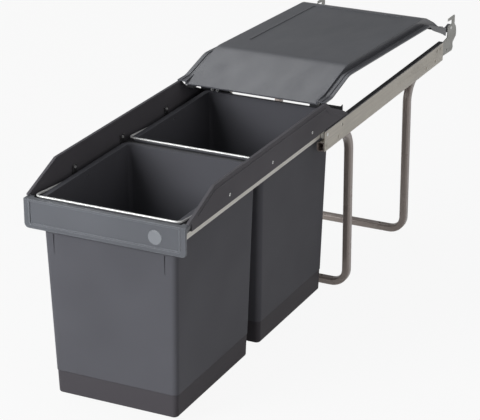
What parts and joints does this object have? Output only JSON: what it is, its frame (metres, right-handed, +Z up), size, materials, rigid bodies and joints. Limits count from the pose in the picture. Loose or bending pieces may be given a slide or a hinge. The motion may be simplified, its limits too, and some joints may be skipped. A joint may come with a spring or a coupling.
{
  "type": "pull out bin frame",
  "caption": "Floor mounted pull out waste frame with a roller carriage, hanging lift out bins with wire bails, a front panel and a hinged lid.",
  "frame": {"origin": "on the cabinet floor, midway between the cross runs of the two legs, at the centre of the floor screw pattern", "axes": "+X to the right seen from the front, +Y to the back of the cabinet, +Z up"},
  "size_m": [0.2544, 1.0295, 0.3763],
  "materials": {
    "rail_steel": "satin",
    "leg_steel": "satin",
    "bracket_steel": "satin",
    "zinc": "satin",
    "nylon": "matte",
    "rubber": "matte",
    "wire": "polished",
    "front_plastic": "satin",
    "badge_plastic": "gloss",
    "side_plastic": "satin",
    "rear_plastic": "matte",
    "bin_plastic": "satin",
    "lid_plastic": "satin"
  },
  "bodies": {
    "frame": {"front_leg": "leg_steel", "rear_leg": "leg_steel", "left_fixed_rail": "rail_steel", "right_fixed_rail": "rail_steel", "leg_rivets": "zinc", "left_front_roller_pin": "zinc", "right_front_roller_pin": "zinc", "front_stops": "nylon", "rear_buffers": "rubber", "left_lid_bracket": "bracket_steel", "right_lid_bracket": "bracket_steel", "bracket_rivets": "zinc", "lid_hinge_pins": "zinc"},
    "carriage": {"left_moving_rail": "rail_steel", "right_moving_rail": "rail_steel", "left_rear_roller_pin": "zinc", "right_rear_roller_pin": "zinc", "front_cross_bar": "rail_steel", "middle_cross_bar": "rail_steel", "rear_cross_bar": "rail_steel", "cross_bar_rivets": "zinc", "front_panel": "front_plastic", "badge_insert": "badge_plastic", "front_panel_screws": "zinc", "left_side_panel": "side_plastic", "right_side_panel": "side_plastic", "side_panel_screws": "zinc", "rear_panel": "rear_plastic", "rear_panel_screws": "zinc"},
    "left_front_roller": {"left_front_roller": "nylon"},
    "right_front_roller": {"right_front_roller": "nylon"},
    "left_rear_roller": {"left_rear_roller": "nylon"},
    "right_rear_roller": {"right_rear_roller": "nylon"},
    "front_bin": {"front_bin": "bin_plastic"},
    "rear_bin": {"rear_bin": "bin_plastic"},
    "front_bail": {"front_bail": "wire"},
    "rear_bail": {"rear_bail": "wire"},
    "lid": {"lid_cover": "lid_plastic", "lid_guides": "rear_plastic", "lid_buffers": "rubber"}
  },
  "joints": [
    {"name": "carriage_slide", "type": "slide", "parent": "frame", "child": "carriage", "axis": [0, -1, 0], "range_m": [-0.436, 0]},
    {"name": "lid_hinge", "type": "hinge", "parent": "frame", "child": "lid", "pos_m": [0, 0.3087, 0.32], "axis": [-1, 0, 0], "range_deg": [0, 70]},
    {"name": "front_bin_lift", "type": "slide", "parent": "carriage", "child": "front_bin", "axis": [0, 0, 1], "range_m": [0, 0.31]},
    {"name": "rear_bin_lift", "type": "slide", "parent": "carriage", "child": "rear_bin", "axis": [0, 0, 1], "range_m": [0, 0.02]},
    {"name": "front_bail_hinge", "type": "hinge", "parent": "front_bin", "child": "front_bail", "pos_m": [0, -0.55655, 0.308], "axis": [-1, 0, 0], "range_deg": [0, 100]},
    {"name": "rear_bail_hinge", "type": "hinge", "parent": "rear_bin", "child": "rear_bail", "pos_m": [0, -0.29175, 0.308], "axis": [-1, 0, 0], "range_deg": [0, 100]},
    {"name": "left_front_roller_turn", "type": "hinge", "parent": "frame", "child": "left_front_roller", "pos_m": [-0.1215, -0.2263, 0.2976], "axis": [1, 0, 0], "continuous": true},
    {"name": "left_rear_roller_turn", "type": "hinge", "parent": "carriage", "child": "left_rear_roller", "pos_m": [-0.1205, -0.1823, 0.29575], "axis": [1, 0, 0], "continuous": true},
    {"name": "right_front_roller_turn", "type": "hinge", "parent": "frame", "child": "right_front_roller", "pos_m": [0.1215, -0.2263, 0.2976], "axis": [1, 0, 0], "continuous": true},
    {"name": "right_rear_roller_turn", "type": "hinge", "parent": "carriage", "child": "right_rear_roller", "pos_m": [0.1205, -0.1823, 0.29575], "axis": [1, 0, 0], "continuous": true}
  ],
  "couplings": [
    {"joint": "left_front_roller_turn", "follows": "carriage_slide", "rad_per_m": 125},
    {"joint": "left_rear_roller_turn", "follows": "carriage_slide", "rad_per_m": -135.13},
    {"joint": "right_front_roller_turn", "follows": "carriage_slide", "rad_per_m": 125},
    {"joint": "right_rear_roller_turn", "follows": "carriage_slide", "rad_per_m": -135.13}
  ]
}
